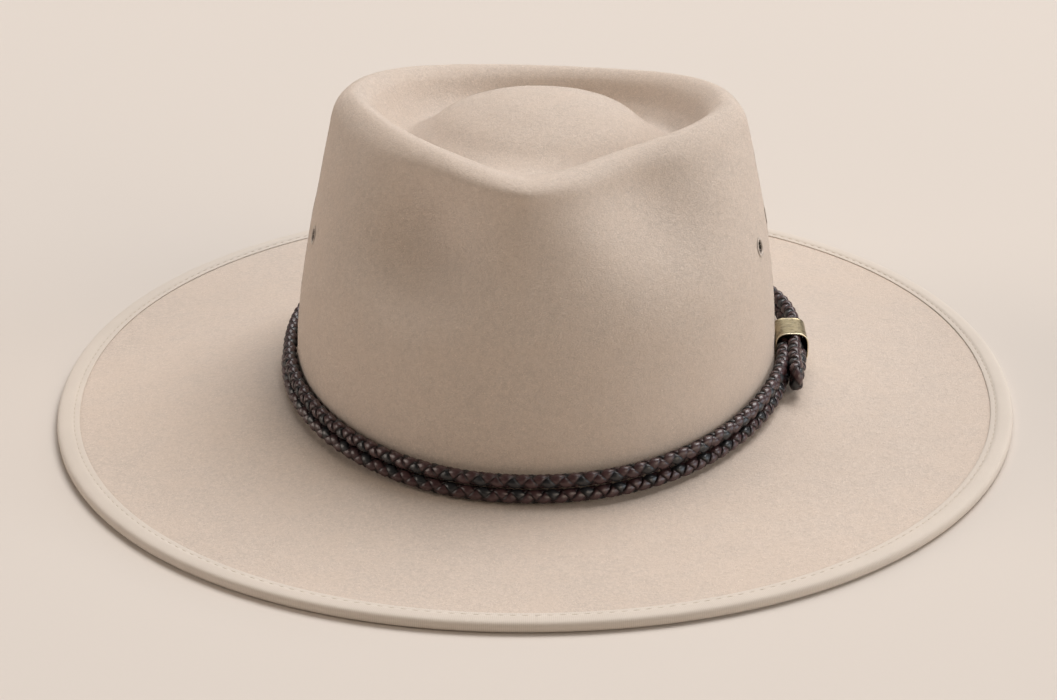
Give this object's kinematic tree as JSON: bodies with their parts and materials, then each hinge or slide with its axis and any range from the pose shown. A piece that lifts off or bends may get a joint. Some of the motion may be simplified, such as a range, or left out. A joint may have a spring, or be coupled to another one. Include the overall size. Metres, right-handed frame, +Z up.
{
  "type": "drover hat",
  "caption": "Felt hat with a wide, nearly flat brim, a pinched teardrop crown, a ribbon-bound edge and a braided cord band held by a brass keeper.",
  "frame": {"origin": "middle of the hat's own box on the surface that the brim rests on", "axes": "+Z up through the crown, -Y towards the front of the hat, +X towards the side that has the keeper (the wearer's left)"},
  "size_m": [0.3476, 0.3776, 0.116],
  "materials": {
    "felt": "pale sand fur felt with a short soft nap",
    "ribbon": "cream woven ribbon, matte",
    "cord": "glossy four-strand braid in dark brown with one black strand",
    "brass": "antique brass, brushed, worn bright at the rims",
    "eyelet": "sand lacquer over metal"
  },
  "bodies": {
    "root": {"felt_body": "felt", "brim_binding": "ribbon", "braided_cord": "cord", "keeper": "brass", "eyelet_right_front": "eyelet", "eyelet_right_back": "eyelet", "eyelet_left_front": "eyelet", "eyelet_left_back": "eyelet"}
  },
  "joints": []
}
